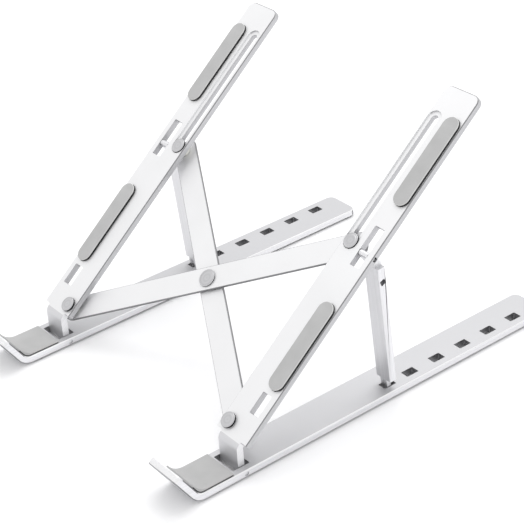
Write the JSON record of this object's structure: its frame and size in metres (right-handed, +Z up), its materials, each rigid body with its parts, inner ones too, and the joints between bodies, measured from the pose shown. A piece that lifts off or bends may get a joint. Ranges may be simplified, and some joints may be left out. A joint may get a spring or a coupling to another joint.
{
  "type": "laptop stand",
  "caption": "Folding aluminium laptop stand: slim hooked rails on the desk, sloping padded arms tied by an X brace, and swinging legs that stand in notches.",
  "frame": {"origin": "on the desk, under the middle of the stand", "axes": "+Y rearward along the base rails, away from the hooks; +Z up; +X to the right rail"},
  "size_m": [0.1716, 0.2361, 0.1411],
  "materials": {
    "base_aluminium": "fine-blasted satin anodised",
    "arm_aluminium": "bright satin anodised",
    "leg_aluminium": "satin with fine lengthwise lines",
    "nickel_steel": "turned, nickel plated",
    "grey_silicone": "matt",
    "dark_rubber": "matt",
    "nylon": "matt"
  },
  "bodies": {
    "left_base": {"left_base_rail": "base_aluminium", "left_hinge_pin": "nickel_steel", "left_hook_pad": "grey_silicone", "left_front_grip_strip": "dark_rubber", "left_middle_grip_strip": "dark_rubber", "left_rear_grip_strip": "dark_rubber"},
    "left_arm_set": {"left_arm": "arm_aluminium", "left_leg_pin": "nickel_steel", "left_upper_arm_pad": "grey_silicone", "left_lower_arm_pad": "grey_silicone", "left_lower_rivet": "nickel_steel", "left_lower_spacer": "nylon"},
    "left_leg_set": {"left_leg": "leg_aluminium"},
    "upper_bar_set": {"upper_brace_bar": "arm_aluminium", "centre_rivet": "nickel_steel", "right_slide_rivet": "nickel_steel", "right_slide_spacer": "nylon"},
    "lower_bar_set": {"lower_brace_bar": "arm_aluminium", "left_slide_rivet": "nickel_steel", "left_slide_spacer": "nylon"},
    "right_arm_set": {"right_arm": "arm_aluminium", "right_leg_pin": "nickel_steel", "right_upper_arm_pad": "grey_silicone", "right_lower_arm_pad": "grey_silicone", "right_lower_rivet": "nickel_steel", "right_lower_spacer": "nylon"},
    "right_leg_set": {"right_leg": "leg_aluminium"},
    "right_base": {"right_base_rail": "base_aluminium", "right_hinge_pin": "nickel_steel", "right_hook_pad": "grey_silicone", "right_front_grip_strip": "dark_rubber", "right_middle_grip_strip": "dark_rubber", "right_rear_grip_strip": "dark_rubber"}
  },
  "joints": [
    {"name": "tilt", "type": "hinge", "parent": "left_base", "child": "left_arm_set", "pos_m": [-0.0747, -0.07883, 0.0026], "axis": [1, 0, 0], "range_deg": [0, 42]},
    {"name": "left_leg_swing", "type": "hinge", "parent": "left_arm_set", "child": "left_leg_set", "pos_m": [-0.0791, 0.00218, 0.08267], "axis": [1, 0, 0], "range_deg": [-55.2, 0]},
    {"name": "x_fold", "type": "hinge", "parent": "left_arm_set", "child": "upper_bar_set", "pos_m": [-0.0685, -0.072, 0.01846], "axis": [0, -0.6409, 0.7676], "range_deg": [0, 50.25]},
    {"name": "bar_cross", "type": "hinge", "parent": "upper_bar_set", "child": "lower_bar_set", "pos_m": [0, -0.03347, 0.05063], "axis": [0, -0.6409, 0.7676], "range_deg": [-101, 0]},
    {"name": "right_arm_link", "type": "hinge", "parent": "lower_bar_set", "child": "right_arm_set", "pos_m": [0.0685, -0.072, 0.01846], "axis": [0, -0.6409, 0.7676], "range_deg": [0, 50.75]},
    {"name": "right_leg_swing", "type": "hinge", "parent": "right_arm_set", "child": "right_leg_set", "pos_m": [0.0791, 0.00218, 0.08267], "axis": [1, 0, 0], "range_deg": [-55.2, 0]},
    {"name": "right_tilt", "type": "hinge", "parent": "right_arm_set", "child": "right_base", "pos_m": [0.0747, -0.07883, 0.0026], "axis": [1, 0, 0], "range_deg": [-42.4, 0]}
  ],
  "couplings": [
    {"joint": "left_leg_swing", "follows": "tilt", "ratio": -1.3048},
    {"joint": "right_leg_swing", "follows": "tilt", "ratio": -1.3048},
    {"joint": "right_tilt", "follows": "tilt", "ratio": -1},
    {"joint": "bar_cross", "follows": "x_fold", "ratio": -2},
    {"joint": "right_arm_link", "follows": "x_fold", "ratio": 1}
  ]
}
